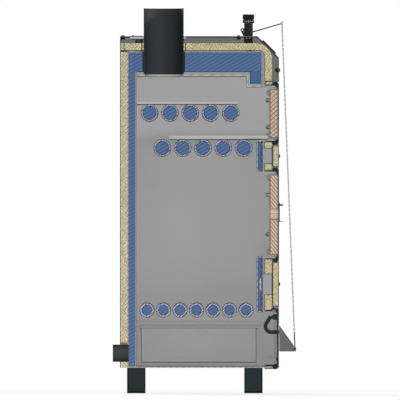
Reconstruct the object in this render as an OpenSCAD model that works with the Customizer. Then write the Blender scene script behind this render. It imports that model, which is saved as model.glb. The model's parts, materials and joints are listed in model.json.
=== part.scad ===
// Upright wood-fired boiler, cut open along its middle: the far half of the
// water jacket, flues, grate, doors and casing, with the draught regulator.
// Shapes are placed in depth from the casing's rear sheet (x), in width from the
// cut (y, growing towards the far side) and in height above the floor (z).
// frame_shift() then moves them to the part's own frame, whose origin is on the
// floor under the middle of the whole.

/* [Casing] */
// Depth of the casing from its rear sheet to the door fronts
casing_depth = 555; // [550:1:560]
// Width from the cut to the far side sheet
half_width = 240; // [238:1:260]
// Height of the top cover above the floor
casing_top = 1247; // [1245:1:1250]
// Depth and height of the sloping edge that carries the instrument panel
chamfer = 75; // [70:1:80]
// Thickness of the casing sheet
sheet_t = 2.5; // [1.5:0.1:3]

/* [Boiler body] */
// Height of the feet
foot_h = 89; // [60:1:100]
// Thickness of the base plate
base_t = 5; // [4:0.5:6]
// Thickness of the plates round the fire
shell_t = 4.5; // [4:0.1:5]
// Thickness of the plates outside the water
jacket_t = 4; // [3:0.1:4.5]
// Height of the underside of the plate over the gas passages
roof_z = 1107; // [1100:1:1110]
// Thickness of that plate
roof_t = 7; // [6:0.5:8]
// Height of the top of the water jacket
jacket_top = 1194; // [1192:1:1196]

/* [Tubes] */
// Outer diameter of the ten upper water tubes
tube_d = 57; // [50:1:60]
// Wall of the upper water tubes
tube_wall = 4; // [3:0.5:5]
// Distance between neighbouring upper tubes
tube_pitch = 71; // [64:0.5:72]
// Height of the upper row
upper_row_z = 979; // [975:1:985]
// Height of the middle row
middle_row_z = 856.5; // [850:0.5:860]
// Outer diameter of the seven grate tubes
grate_d = 48.3; // [42:0.1:50]
// Wall of the grate tubes
grate_wall = 6; // [3:0.5:8]
// Distance between neighbouring grate tubes
grate_pitch = 57.7; // [52:0.1:58]
// Height of the grate
grate_z = 290; // [285:1:300]

/* [Flue and pipes] */
// Outer diameter of the flue pipe
flue_d = 139.7; // [120:0.1:150]
// Wall of the flue pipe
flue_wall = 4; // [3:0.5:5]
// Height of the flue's mouth
flue_top = 1344; // [1300:1:1400]
// Outer diameter of the return pipe
return_d = 60.3; // [48:0.1:62]
// How far the return pipe stands out behind the casing
return_reach = 25.5; // [20:0.5:60]

/* [Draught control] */
// Distance between neighbouring links of the chain
chain_pitch = 8; // [7:0.5:12]
// Diameter of the wire of the links
chain_wire = 1.5; // [1:0.1:1.8]
// Distance of the chain in front of the cut
chain_offset = 16; // [14:1:20]
// Diameter of the lever rod
lever_d = 4; // [3:0.1:5]

/* [Hidden] */
$fn = 48;

front = casing_depth;
floor_z = foot_h + base_t;

// Reach of the whole beyond the casing, for the origin
flap_reach = 60;
shackle_half = 3.4;
shift_x = -(front + flap_reach - return_reach) / 2;
shift_y = -(half_width - chain_offset - shackle_half) / 2;

// Depths of the layers at the rear
jacket_x = 26;
rear_water_x = jacket_x + jacket_t;
shell_x = 51.5;
chamber_x = shell_x + shell_t;

// Depths of the layers at the front
front_shell_x = 477.5;
front_plate_x = 493;
front_plate_t = 5;
body_front = 505.5;

// Widths of the layers at the far side
chamber_y = 184;
side_water_y = chamber_y + shell_t;
jacket_y = 210;
wool_y = jacket_y + jacket_t;
side_in = half_width - sheet_t;

// Steps of the roof over the gas passages
step_x = 441.5;
step_z = 1069;
edge_rise = 9;

// Throats of the three doors, bottom and top
cleaning_z = [882, 1073.5];
loading_z = [472, 773.5];
ash_z = [98, 286.5];
throats = [cleaning_z, loading_z, ash_z];
throat_t = 3;
plate_lap = 9;
door_t = 4;
ash_door_t = 6.5;
door_ts = [door_t, door_t, ash_door_t];
door_y = 229;
board_x = front - 30;
board_y = 172.5;
cleaning_board_z = [893, 1060.5];
loading_board_z = [485.7, 761.5];
liner_t = 2.2;
lug_r = 10.5;
hinge_x = front - 6;
hinge_y = 225;
hinge_pin_r = 3;
knuckle_h = 40;
running = 0.08;

// Wool
wool_top = 1222;
wool_t = 24;
wool_front_x = 530.5;
corner_r = 56;
corner_in_r = 20;

// Regulator, lever, chain and flap
reg_x = 448.5;
reg_y = 26;
lever_z = 1257.5;
tip_x = 565.3;
tip_z = 1291;
flap_pin_x = front - 19;
flap_pin_z = 265;
hook_x = front + 56;
hook_z = 154;
chain_y = -chain_offset;
chain_lean = atan((hook_x - tip_x) / (tip_z - hook_z));
chain_len = norm([hook_x - tip_x, tip_z - hook_z]);
shackle_len = 8;
hook_len = 45;
link_count = 2 * floor((chain_len - shackle_len - hook_len) / chain_pitch / 2);
air_hole = [122, 243];
air_hole_y = 66;
cheek_y = 60;

// Secondary air inlet in the loading door
air_stud_z = 657.5;
air_z = 625;
air_r = 18.7;

// ---- Helpers ----

module frame_shift() translate([shift_x, shift_y, 0]) children();

// A block between two depths, two widths and two heights
module block(x, y, z)
  translate([x[0], y[0], z[0]]) cube([x[1] - x[0], y[1] - y[0], z[1] - z[0]]);

// A side outline, drawn in depth and height, given its width
module across(y)
  translate([0, y[1], 0]) rotate([90, 0, 0]) linear_extrude(y[1] - y[0]) children();

// A front outline, drawn in width and height, given its depth
module along(x)
  translate([x[0], 0, 0]) rotate([90, 0, 90]) linear_extrude(x[1] - x[0]) children();

// A round bar along the width
module cross_bar(x, z, r, y)
  translate([x, y[1], z]) rotate([90, 0, 0]) cylinder(r = r, h = y[1] - y[0]);

// A round bar along the depth
module depth_bar(y, z, r, x)
  translate([x[0], y, z]) rotate([0, 90, 0]) cylinder(r = r, h = x[1] - x[0]);

// Keeps what lies beyond the cut
module far_half()
  intersection() {
    children();
    translate([-200, 0, -1]) cube([1200, 400, 1500]);
  }

// A row of tubes across the body
module tube_row(x0, pitch, count, z, d, wall)
  for (i = [0 : count - 1])
    difference() {
      cross_bar(x0 + i * pitch, z, d / 2, [0, side_water_y]);
      cross_bar(x0 + i * pitch, z, d / 2 - wall, [-1, side_water_y + 1]);
    }

module tube_holes(x0, pitch, count, z, d)
  for (i = [0 : count - 1])
    cross_bar(x0 + i * pitch, z, d / 2 + 0.15, [chamber_y - 1, side_water_y + 1]);

// A side outline with round corners of radius r towards the fire
module round_backed(x, z, r) {
  translate([x[0] + r, z[0]]) square([x[1] - x[0] - r, z[1] - z[0]]);
  translate([x[0], z[0] + r]) square([r + 1, z[1] - z[0] - 2 * r]);
  for (c = [z[0] + r, z[1] - r]) translate([x[0] + r, c]) circle(r = r);
}

upper_x = 103;
middle_x = 147.7;
grate_x = 94;

// ---- Feet and boiler body ----

// A channel across the width, open upwards and closed at its far end
module foot(x) {
  y = [0, wool_y];
  wall = 4;
  difference() {
    block(x, y, [0, foot_h]);
    block([x[0] + wall, x[1] - wall], [-1, y[1] - wall], [wall + 1, foot_h + 1]);
  }
}

module front_foot() color("#2b3335") frame_shift() foot([434, 498]);

module rear_foot() color("#2b3335") frame_shift() foot([24.5, 88.5]);

module base_plate() color("#8f8f8a") frame_shift()
  block([jacket_x, front - 24], [0, wool_y], [foot_h, floor_z]);

module inner_rear_wall() color("#9b9b9b") frame_shift()
  block([shell_x, chamber_x], [0, side_water_y], [floor_z, roof_z + roof_t + edge_rise]);

// The plate beside the fire: its upper edge follows the stepped roof, and a
// tongue reaches forward beside each door
module inner_side_wall() color("#9b9b9b") frame_shift()
  difference() {
    across([chamber_y, side_water_y]) {
      polygon([[chamber_x, floor_z], [body_front, floor_z],
               [body_front, step_z + roof_t + 7], [step_x + roof_t + 6.5, step_z + roof_t + 7],
               [step_x + roof_t + 6.5, roof_z + roof_t + edge_rise],
               [chamber_x, roof_z + roof_t + edge_rise]]);
      for (z = throats)
        translate([body_front - 1, z[0]]) square([front - 14 - body_front + 1, z[1] - z[0]]);
    }
    tube_holes(upper_x, tube_pitch, 5, upper_row_z, tube_d);
    tube_holes(middle_x, tube_pitch, 5, middle_row_z, tube_d);
    tube_holes(grate_x, grate_pitch, 7, grate_z, grate_d);
  }

// The stepped plate over the gas passages, with the flue's hole
module gas_roof() color("#8f8f8f") frame_shift()
  difference() {
    across([0, chamber_y])
      polygon([[chamber_x, roof_z], [step_x, roof_z], [step_x, step_z],
               [front_plate_x, step_z], [front_plate_x, step_z + roof_t],
               [step_x + roof_t, step_z + roof_t], [step_x + roof_t, roof_z + roof_t],
               [chamber_x, roof_z + roof_t]]);
    flue_bore(flue_d / 2 + 0.1);
  }

flue_x = 152.5;

module flue_bore(r) translate([flue_x, 0, 1000]) cylinder(r = r, h = 400);

module jacket_rear_wall() color("#8c8c88") frame_shift()
  difference() {
    block([jacket_x, rear_water_x], [0, jacket_y], [floor_z, jacket_top - jacket_t]);
    depth_bar(0, return_z, return_d / 2 + 0.1, [0, 40]);
  }

module jacket_side_wall() color("#8c8c88") frame_shift()
  block([jacket_x, body_front], [jacket_y, wool_y], [floor_z, wool_top - wool_t]);

module jacket_top_plate() color("#8c8c88") frame_shift()
  difference() {
    block([jacket_x, front_plate_x + front_plate_t], [0, jacket_y],
          [jacket_top - jacket_t, jacket_top]);
    flue_bore(flue_d / 2 + 4.3);
  }

// Plate over the doors, and the strip that closes the water at the far side
module jacket_front_wall() color("#9b9b9b") frame_shift() {
  x = [front_plate_x, front_plate_x + front_plate_t];
  block(x, [0, chamber_y], [step_z, jacket_top - jacket_t]);
  block(x, [side_water_y, jacket_y], [floor_z, jacket_top - jacket_t]);
}

// Hollow walls between the doors, with the water inside
mid_wall_z = [774, 881.5];
low_wall_z = [283, 478];

module hollow_wall(z)
  difference() {
    across([0, chamber_y])
      round_backed([front_shell_x, front_plate_x + front_plate_t], z, 6);
    block([front_shell_x + shell_t, front_plate_x], [-1, chamber_y + 1],
          [z[0] + shell_t, z[1] - shell_t]);
  }

// The stay ties the two plates of the lower wall together
stay_z = [355, 402];
stay_x = [front_plate_x - 6.5, front_plate_x];

module front_water_walls() color("#9b9b9b") frame_shift() {
  hollow_wall(mid_wall_z);
  hollow_wall(low_wall_z);
  block([stay_x[0], stay_x[1] + 1], [0, chamber_y], stay_z);
}

// Blocks that carry the casing in front of the hollow walls
module front_spacers() color("#9b9b9b") frame_shift() {
  x = [front_plate_x + front_plate_t + 0.1, 530];
  block(x, [0, chamber_y - 8], [803.5, 854.5]);
  block(x, [0, chamber_y - 8], [345, 416]);
}

// Floors and ceilings of the cleaning and loading throats
module throat_plates() color("#acacac") frame_shift() {
  x = [front_plate_x + front_plate_t + 0.1, 542];
  for (z = [cleaning_z, loading_z]) {
    block(x, [0, chamber_y - 0.1], [z[0], z[0] + throat_t]);
    block(x, [0, chamber_y - 0.1], [z[1] - throat_t, z[1]]);
  }
  block([front_shell_x + 7, x[0]], [0, chamber_y - 0.1],
        [mid_wall_z[1] + 0.1, cleaning_z[0] + 2.4]);
}

module upper_tubes() color("#a5a5a8") frame_shift()
  tube_row(upper_x, tube_pitch, 5, upper_row_z, tube_d, tube_wall);

module middle_tubes() color("#a5a5a8") frame_shift()
  tube_row(middle_x, tube_pitch, 5, middle_row_z, tube_d, tube_wall);

module grate_tubes() color("#a5a5a8") frame_shift()
  tube_row(grate_x, grate_pitch, 7, grate_z, grate_d, grate_wall);

// ---- Water, as the blue filling of a sectioned boiler ----

water_top = jacket_top - jacket_t;

module rear_water() color("#506991") frame_shift()
  block([rear_water_x, shell_x], [0, side_water_y], [floor_z, water_top]);

module side_water() color("#506991") frame_shift()
  block([rear_water_x, front_plate_x], [side_water_y, jacket_y], [floor_z, water_top]);

module top_water() color("#506991") frame_shift()
  difference() {
    block([shell_x, front_plate_x], [0, side_water_y],
          [roof_z + roof_t + edge_rise, water_top]);
    flue_bore(flue_d / 2 + 4.3);
  }

module front_water() color("#4b6893") frame_shift() {
  difference() {
    for (z = [mid_wall_z, low_wall_z])
      block([front_shell_x + shell_t, front_plate_x], [0, chamber_y],
            [z[0] + shell_t, z[1] - shell_t]);
    block([stay_x[0], stay_x[1] + 1], [-1, chamber_y + 1], stay_z);
  }
  block([step_x + roof_t + 7.5, front_plate_x], [0, chamber_y],
        [step_z + roof_t + 7.5, roof_z + roof_t + edge_rise]);
}

module tube_water() color("#506991") frame_shift() {
  fill = 0.05;
  for (i = [0 : 4]) {
    cross_bar(upper_x + i * tube_pitch, upper_row_z, tube_d / 2 - tube_wall - fill,
              [0, side_water_y]);
    cross_bar(middle_x + i * tube_pitch, middle_row_z, tube_d / 2 - tube_wall - fill,
              [0, side_water_y]);
  }
  for (i = [0 : 6])
    cross_bar(grate_x + i * grate_pitch, grate_z, grate_d / 2 - grate_wall - fill,
              [0, side_water_y]);
}

// ---- Inside the firebox ----

module upper_baffle() color("#acacac") frame_shift()
  block([59, 411], [0, chamber_y - 0.1], [upper_row_z + tube_d / 2 + 0.1, 1017]);

// The notch in its front edge leaves room for the cleaning door's lower lug
module middle_baffle() color("#acacac") frame_shift()
  difference() {
    block([173, 518], [0, chamber_y - 4], [middle_row_z + tube_d / 2 + 0.1, 899]);
    block([506.5, 519], [45, 73], [middle_row_z, 900]);
  }

// Angles along the far wall over the ash pan, and their rear bracket
module ash_rails() color("#909090") frame_shift() {
  y = [chamber_y - 22, chamber_y];
  block([chamber_x, 494], [chamber_y - 4, chamber_y], [232, 251]);
  block([chamber_x, 494], y, [232, 236.5]);
  block([chamber_x, chamber_x + 16], [chamber_y - 4, chamber_y], [213, 233]);
  across([y[0], y[0] + 4])
    polygon([[chamber_x, 236], [chamber_x + 8, 236], [chamber_x + 27, 251],
             [chamber_x, 251]]);
}

module ash_pan() color("#9b9b9b") frame_shift()
  difference() {
    union() {
      block([72.5, 477.5], [0, 158], [floor_z, 225.5]);
      block([70, 480], [0, 160.5], [222.5, 225.5]);
    }
    block([75, 475], [-1, 155.5], [108, 230]);
    block([60, 490], [-1, 140], [floor_z - 1, 105.5]);
  }

// ---- Insulation ----

return_z = 140;

module rear_insulation() color("#c8bd9b") frame_shift()
  difference() {
    union() {
      block([sheet_t, jacket_x], [0, side_in], [foot_h, jacket_top - 2]);
      block([sheet_t, 13], [0, side_in], [wool_top - wool_t, wool_top]);
    }
    depth_bar(0, return_z + 3.5, return_d / 2 + 4, [-1, jacket_x + 1]);
  }

// Slab over the jacket that turns down round the front corner, where its inner
// face has a smaller radius than its outer one
module top_insulation() color("#c8bd9b") frame_shift()
  difference() {
    union() {
      block([16.5, wool_front_x - corner_r], [0, side_in], [wool_top - wool_t, wool_top]);
      across([0, jacket_y - 0.5]) difference() {
        union() {
          translate([wool_front_x - corner_r - 1, 1150]) square([2, wool_top - 1150]);
          translate([wool_front_x - corner_r, wool_top - corner_r]) circle(r = corner_r);
        }
        translate([wool_front_x - corner_r * 3, 1090])
          square([corner_r * 3 - wool_t - corner_in_r, wool_top - wool_t - 1090]);
        translate([400, 1090])
          square([wool_front_x - wool_t - 400, wool_top - wool_t - corner_in_r - 1090]);
        translate([wool_front_x - wool_t - corner_in_r, wool_top - wool_t - corner_in_r])
          circle(r = corner_in_r);
        translate([500, 1100]) square([60, wool_top - corner_r - 1100]);
      }
      block([wool_front_x - wool_t, wool_front_x], [0, 205], [1091.5, wool_top - corner_r]);
    }
    flue_bore(78);
    translate([reg_x, reg_y, 1100]) cylinder(r = 19, h = 200);
    translate([vent_x, reg_y, 1100]) cylinder(r = 15, h = 200);
  }

module side_insulation() color("#c8bd9b") frame_shift()
  block([jacket_x, body_front], [wool_y, side_in],
        [foot_h, wool_top - wool_t]);

// Blocks beside the spacers of the hollow walls, and mats behind the panels
module front_insulation() color("#c8bd9b") frame_shift() {
  x_in = [body_front, 530.5];
  x_out = [534.5, front - sheet_t];
  y = [0, 200];
  slot = 2;
  block([x_in[0] + slot, x_in[1]], y, [1077.8, 1086.5]);
  block(x_in, y, [856, 877]);
  across(y) difference() {
    translate([x_in[0], 780.5]) square([x_in[1] - x_in[0], 21]);
    translate([x_in[1], 801.5]) rotate(45) square(6, center = true);
  }
  block(x_in, y, [417.5, 467.5]);
  across(y) difference() {
    translate([x_in[0], 291]) square([x_in[1] - x_in[0], 52.5]);
    translate([x_in[1], 291]) rotate(45) square(8, center = true);
  }
  block(x_out, y, [793.5, 863]);
  block(x_out, y, [305, 455.5]);
}

// ---- Casing ----

module rear_panel() color("#3c3e3f") frame_shift()
  difference() {
    union() {
      block([0, sheet_t], [0, half_width], [foot_h, casing_top - sheet_t]);
      block([0, jacket_x - 2], [0, side_in], [jacket_top, jacket_top + 3]);
    }
    depth_bar(0, return_z + 3.5, return_d / 2 + 4, [-1, jacket_x + 1]);
  }

module side_panel() color("#6b6c67") frame_shift() {
  z_top = casing_top - sheet_t;
  across([side_in, half_width])
    polygon([[sheet_t, foot_h], [front - sheet_t, foot_h],
             [front - sheet_t, casing_top - chamfer - 1], [front - chamfer - 1, z_top],
             [sheet_t, z_top]]);
  block([front - sheet_t, front], [half_width - 6, half_width], [foot_h, 1083]);
  block([front - 20, front - 17], [side_in - 3, side_in + 1], [foot_h, casing_top - chamfer]);
}

vent_x = 66.3;

module top_cover() color("#3c3e3f") frame_shift()
  difference() {
    block([0, front - chamfer], [0, half_width], [casing_top - sheet_t, casing_top]);
    flue_bore(flue_d / 2 + 4.3);
    translate([reg_x, reg_y, 1100]) cylinder(r = 19, h = 200);
    translate([vent_x, reg_y, 1100]) cylinder(r = 14, h = 200);
  }

flange_z = 1087.8;

// Sloping edge and the sheet over the cleaning door, its foot turned inwards
module upper_front_panel() color("#3c3e3f") frame_shift() {
  x0 = front - chamfer;
  z1 = casing_top - chamfer;
  k = sheet_t * tan(22.5);
  across([0, half_width])
    polygon([[x0, casing_top], [front, z1], [front, flange_z], [front - sheet_t, flange_z],
             [front - sheet_t, z1 - k], [x0 - k + 0.01, casing_top - sheet_t],
             [x0, casing_top - sheet_t]]);
  block([body_front + 4, front - 1], [0, 205], [flange_z, flange_z + sheet_t]);
}

module front_panels() color("#3c3e3f") frame_shift() {
  y = [0, half_width - 6.2];
  gap = 5;
  for (z = [[loading_z[1] + plate_lap + gap, cleaning_z[0] - plate_lap - gap],
            [ash_z[1] + plate_lap + gap, loading_z[0] - plate_lap - gap]]) {
    block([front - sheet_t, front], y, z);
    block([530.6, 533.4], [0, 200], [z[0] + 5, z[1] - 5]);
  }
}

// Light plate round the flue, under the cover
module flue_plate() color("#a8a8a8") frame_shift()
  difference() {
    block([35, 230.5], [0, 110], [1237.5, casing_top - sheet_t]);
    flue_bore(flue_d / 2 + 0.3);
    translate([vent_x, reg_y, 1100]) cylinder(r = 14, h = 200);
  }

// Raised panel on a slightly larger flange
module instrument_panel() color("#1c1e1f") frame_shift()
  translate([front - chamfer, 0, casing_top]) rotate([0, 45, 0]) {
    block([24, 87], [0, 200], [0, 4.8]);
    block([21.5, 89.5], [0, 202.5], [0, 1.2]);
  }

// Domed heads of the casing's fixings
module knob(d) {
  rise = 5.5;
  r = (d * d / 4 + rise * rise) / (2 * rise);
  intersection() {
    translate([0, 0, rise - r]) sphere(r = r);
    cylinder(d = d, h = rise + 1);
  }
}

module cover_knobs() color("#15181a") frame_shift() {
  for (x = [9.5, 44.5, 415]) {
    translate([x, 205, casing_top]) knob(16);
    translate([x, 205, casing_top - 10]) cylinder(r = 6, h = 10 - sheet_t);
  }
  for (z = [1130, 829, 380]) translate([front, 205, z]) rotate([0, 90, 0]) knob(16);
  depth_bar(205, 1130, 6.7, [front - 9.5, front - sheet_t]);
  depth_bar(205, 1130, 3, [front - 13, front - sheet_t]);
}

// ---- Doors ----

// Outline of a cast frame bar, drawn over the throat: the strip on the throat
// plate, the bead with its corners taken off and the short lip behind the door
strip_x = 509;
bead_x = 532.6;
upright_x = 542.2;
lip = 4;

module frame_outline(reach) {
  bead = 14;
  translate([strip_x, 0]) square([bead_x - strip_x + 1, 3.4]);
  difference() {
    translate([bead_x, 0]) square([reach - bead_x, bead]);
    translate([bead_x, bead]) rotate(45) square(8, center = true);
    translate([reach, bead]) rotate(45) square(5, center = true);
  }
  translate([reach - 6.5, -lip]) square([6.5, lip + 1]);
}

// The bar over the ash door is bent into an arch instead
module arched_outline(reach) {
  arch_r = 10.3;
  bar = 4;
  translate([strip_x - 1, 0]) square([reach - 2 * arch_r + bar - strip_x + 1, 3.4]);
  translate([reach - arch_r, 0]) difference() {
    circle(r = arch_r);
    circle(r = arch_r - bar);
    translate([-20, -40]) square(40);
  }
  translate([reach - bar, -lip]) square([bar, lip + 0.01]);
}

module door_frames() color("#1f2325") frame_shift()
  for (i = [0 : 2]) {
    z = throats[i];
    reach = front - door_ts[i] - 0.5;
    y = [0, 198];
    translate([0, 0, z[1]]) across(y)
      if (i < 2) frame_outline(reach); else arched_outline(reach);
    translate([0, 0, z[0]]) mirror([0, 0, 1]) across(y) frame_outline(reach);
    block([upright_x, reach], [board_y + 7.5, y[1]], [z[0] - 10, z[1] + 10]);
  }

// Arms that carry the doors' upright pins
module hinge_pins() color("#8c8c88") frame_shift()
  for (z = throats)
    for (end = [0, 1]) {
      z_arm = end == 0 ? z[0] - plate_lap - 7 : z[1] + plate_lap + 2;
      z_pin = end == 0 ? z_arm : z_arm - 28;
      block([body_front, front - 3], [206, 231], [z_arm, z_arm + 5]);
      if (z_arm < foot_h)
        block([body_front, front - 24], [206, wool_y], [z_arm, foot_h]);
      translate([hinge_x, hinge_y, z_pin]) cylinder(r = hinge_pin_r, h = 33);
    }

// Sheet of a door with its two knuckles at the far edge
module door_sheet(z, t) {
  z0 = z[0] - plate_lap;
  z1 = z[1] + plate_lap;
  difference() {
    union() {
      block([front - t, front], [0, door_y], [z0, z1]);
      for (zk = [z0 + 3, z1 - 3 - knuckle_h])
        translate([hinge_x, hinge_y, zk]) cylinder(r = 5, h = knuckle_h);
    }
    for (zk = [z0 - 1, z1 - 4 - knuckle_h])
      translate([hinge_x, hinge_y, zk])
        cylinder(r = hinge_pin_r + running, h = knuckle_h + 5);
  }
}

module door_board(z) block([board_x, front - door_t], [0, board_y], z);

// Sheet folded over the board, with the half-round lugs and domed nuts that
// hold it, each as far from the board's ends as lug and nut say
module door_liner(z, lug, nut) {
  x = [board_x - liner_t, front - door_t];
  difference() {
    block(x, [0, board_y + liner_t], [z[0] - liner_t, z[1] + liner_t]);
    block([board_x, front], [-1, board_y], z);
  }
  for (zl = [z[0] + lug, z[1] - lug]) half_lug(x[0], zl);
  for (zn = [z[0] + nut, z[1] - nut]) domed_nut(x[0], zn);
}

module half_lug(x, z) {
  rim = 3;
  across([52, 66]) difference() {
    translate([x, z]) circle(r = lug_r);
    translate([x, z]) circle(r = lug_r - rim);
    translate([x, z - 50]) square(100);
  }
  across([57, 61]) difference() {
    translate([x, z]) circle(r = lug_r - 1);
    translate([x, z - 50]) square(100);
  }
}

module domed_nut(x, z)
  translate([x + 0.5, 40, z]) rotate([0, -90, 0]) {
    cylinder(r = 6.6, h = 4.5);
    cylinder(r = 7.6, h = 9, $fn = 6);
    intersection() {
      translate([0, 0, 7.5]) sphere(r = 7.4);
      cylinder(r = 8, h = 16);
    }
  }

module cleaning_door() color("#3c3e3f") frame_shift() door_sheet(cleaning_z, door_t);

module cleaning_door_board() color("#cdb298") frame_shift() door_board(cleaning_board_z);

module cleaning_door_liner() color("#7d8083") frame_shift()
  door_liner(cleaning_board_z, 9.8, 37);

module loading_door() color("#3c3e3f") frame_shift()
  difference() {
    union() {
      door_sheet(loading_z, door_t);
      depth_bar(0, air_stud_z, 3, [front - 1, front + 14]);
    }
    depth_bar(0, air_z, air_r, [500, 600]);
  }

module loading_door_board() color("#cdb298") frame_shift()
  difference() {
    door_board(loading_board_z);
    depth_bar(0, air_z, air_r, [500, 600]);
  }

module loading_door_liner() color("#7d8083") frame_shift()
  difference() {
    door_liner(loading_board_z, 8.6, 69);
    depth_bar(0, air_z, air_r, [500, 600]);
  }

// Drop-shaped cover over the air hole, hanging on its stud
module air_cover() color("#2f3132") frame_shift()
  difference() {
    union() {
      far_half() depth_bar(0, air_z - 2, 25, [front + 0.5, front + 3]);
      far_half() depth_bar(0, air_stud_z, 9, [front + 0.5, front + 3]);
      block([front + 0.5, front + 3], [0, 9], [air_z, air_stud_z]);
      block([front + 0.5, front + 12], [0, 10], [598.5, 601]);
    }
    depth_bar(0, air_stud_z, 3.3, [front - 2, front + 20]);
  }

// Sheet with the air hole, the lugs of the flap's pin and an eye at its foot
module ash_door() color("#3c3e3f") frame_shift()
  difference() {
    union() {
      door_sheet(ash_z, ash_door_t);
      for (y = [8, 47]) {
        block([flap_pin_x, front - 1], [y, y + 5], [flap_pin_z - 9, flap_pin_z + 10]);
        cross_bar(flap_pin_x, flap_pin_z, 7.5, [y, y + 5]);
      }
      cross_bar(flap_pin_x, flap_pin_z, 3, [8, 52]);
      across([74, 78]) {
        translate([eye_x, eye_z]) circle(r = 10);
        translate([eye_x, eye_z - 5]) square([front - 3 - eye_x, 10]);
      }
    }
    cross_bar(eye_x, eye_z, 4, [70, 80]);
    block([500, 600], [-1, air_hole_y], air_hole);
  }

eye_x = 523;
eye_z = 117;

// Air flap: sloping plate, lip, cheek and the pin that the chain lifts
flap_top = 238;
flap_bend = 166;
flap_foot = 145.5;
flap_front = front + 52.5;

module air_flap() color("#6b6c67") frame_shift() {
  t = 3;
  across([0, cheek_y])
    polygon([[front + 1, flap_top], [flap_front, flap_bend], [flap_front, flap_foot],
             [flap_front - t, flap_foot], [flap_front - t, flap_bend - 1],
             [front + 1, flap_top - 5]]);
  across([cheek_y - t, cheek_y])
    polygon([[front + 1, flap_top], [flap_front, flap_bend], [flap_front, flap_foot],
             [front + 1, flap_foot]]);
  block([front + 1, flap_front], [cheek_y - 9, cheek_y], [flap_foot, flap_foot + t]);
  block([flap_front - 1, front + flap_reach], [1, 5], [hook_z - 6, hook_z + 6]);
  cross_bar(hook_x, hook_z, 2, [chain_y + 3, 3]);
}

// Two goosenecks from the pin, round the door's edge and out to the flap
neck_r = 20;
neck_x = flap_pin_x - 7.8;
neck_z = flap_pin_z - 32.3;
neck_turn = 148;

module flap_arms() color("#2a3235") frame_shift()
  for (y = [16, 39]) gooseneck([y, y + 5]);

function arc(r, from, to) =
  [for (i = [0 : 16]) let (a = from + (to - from) * i / 16) [r * cos(a), r * sin(a)]];

// A flat bar bent round an arc, with its upper leg ending at the pin's eye and its
// lower one running out to the flap
module gooseneck(y) {
  bar = 12.5;
  leg = 29;
  outer_r = neck_r + bar / 2;
  inner_r = neck_r - bar / 2;
  side = [cos(neck_turn), sin(neck_turn)];
  up = leg * [side[1], -side[0]];
  reach = front + 10 - neck_x;
  difference() {
    across(y) {
      translate([neck_x, neck_z])
        polygon([outer_r * side + up, each arc(outer_r, neck_turn, 270),
                 [reach, -outer_r], [reach, -inner_r],
                 each arc(inner_r, 270, neck_turn), inner_r * side + up]);
      translate([flap_pin_x, flap_pin_z]) circle(r = 7.3);
    }
    cross_bar(flap_pin_x, flap_pin_z, 3 + running, [y[0] - 1, y[1] + 1]);
  }
}

// ---- Flue and pipe ends ----

module flue_pipe() color("#2a2e30") frame_shift() {
  far_half() difference() {
    translate([flue_x, 0, roof_z]) cylinder(d = flue_d, h = flue_top - roof_z);
    flue_bore(flue_d / 2 - flue_wall);
    translate([flue_x, 0, 1000]) cylinder(d = flue_d - 2 * flue_wall, h = 200);
  }
  far_half() difference() {
    translate([flue_x, 0, roof_z + roof_t + edge_rise])
      cylinder(r = flue_d / 2 + 4.2, h = water_top - roof_z - roof_t - edge_rise);
    flue_bore(flue_d / 2 - 1);
  }
}

module pipe_sockets() color("#222526") frame_shift() {
  far_half() difference() {
    depth_bar(0, return_z, return_d / 2, [-return_reach, rear_water_x]);
    depth_bar(0, return_z, return_d / 2 - 4, [-return_reach - 1, rear_water_x + 1]);
    for (i = [0 : 5])
      depth_bar(0, return_z, return_d / 2 - 3, [3 * i - return_reach + 2, 3 * i - return_reach + 3.5]);
  }
  translate([vent_x, reg_y, jacket_top]) cylinder(d = 26.4, h = 54.5);
  translate([reg_x, reg_y, jacket_top]) difference() {
    cylinder(d = 28, h = 22);
    translate([0, 0, 4]) cylinder(d = 19, h = 60);
  }
}

// ---- Draught regulator ----

reg_foot_z = 1223.5;
reg_top_z = 1292;
reg_r = 15.4;
slot_turn = atan((reg_y - chain_y) / (tip_x - reg_x));

module regulator_body() color("#26282a") frame_shift() {
  cross_bar(reg_x, lever_z, 2, [reg_y - 13, reg_y + 13]);
  difference() {
    translate([reg_x, reg_y, 0]) {
      translate([0, 0, 1200]) cylinder(r = 9.4, h = 25);
      translate([0, 0, reg_foot_z]) cylinder(r = 14.7, h = 22);
      translate([0, 0, 1244.5]) cylinder(r = reg_r, h = reg_top_z - 1244.5);
      translate([0, 0, reg_top_z - 1]) cylinder(r = 6, h = 20);
      regulator_ring();
    }
    translate([reg_x, reg_y, 1247]) {
      cylinder(r = 11, h = 26);
      rotate([0, 0, -slot_turn]) translate([0, -4.5, 3]) cube([30, 9, 20]);
    }
  }
}

// Ring behind the body, for the hook while the boiler is swept
module regulator_ring() {
  ring_z = 1268.5;
  translate([-21, 0, ring_z]) rotate([90, 0, 0])
    rotate_extrude() translate([4.8, 0]) circle(r = 2.2);
  translate([0, 2, 0]) rotate([90, 0, 0]) linear_extrude(4)
    polygon([[-25.4, ring_z - 5], [-17, ring_z - 6], [-13, ring_z - 14], [-13, ring_z - 24],
             [-17, ring_z - 24]]);
}

module regulator_knob() color("#1a1b1c") frame_shift()
  translate([reg_x, reg_y, 0]) difference() {
    knob_r = 20.3;
    ribs = 28;
    union() {
      translate([0, 0, reg_top_z + 0.5]) cylinder(r = knob_r, h = 11.5);
      translate([0, 0, 1303]) cylinder(r = 17.5, h = 3.5);
      translate([0, 0, 1306]) cylinder(r = knob_r, h = 17);
    }
    translate([0, 0, reg_top_z]) cylinder(r = 6 + running, h = 20);
    for (i = [0 : ribs - 1])
      rotate([0, 0, 360 * (i + 0.5) / ribs])
        translate([knob_r + 0.5, 0, 1308]) cylinder(r = 1.3, h = 12);
  }

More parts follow.
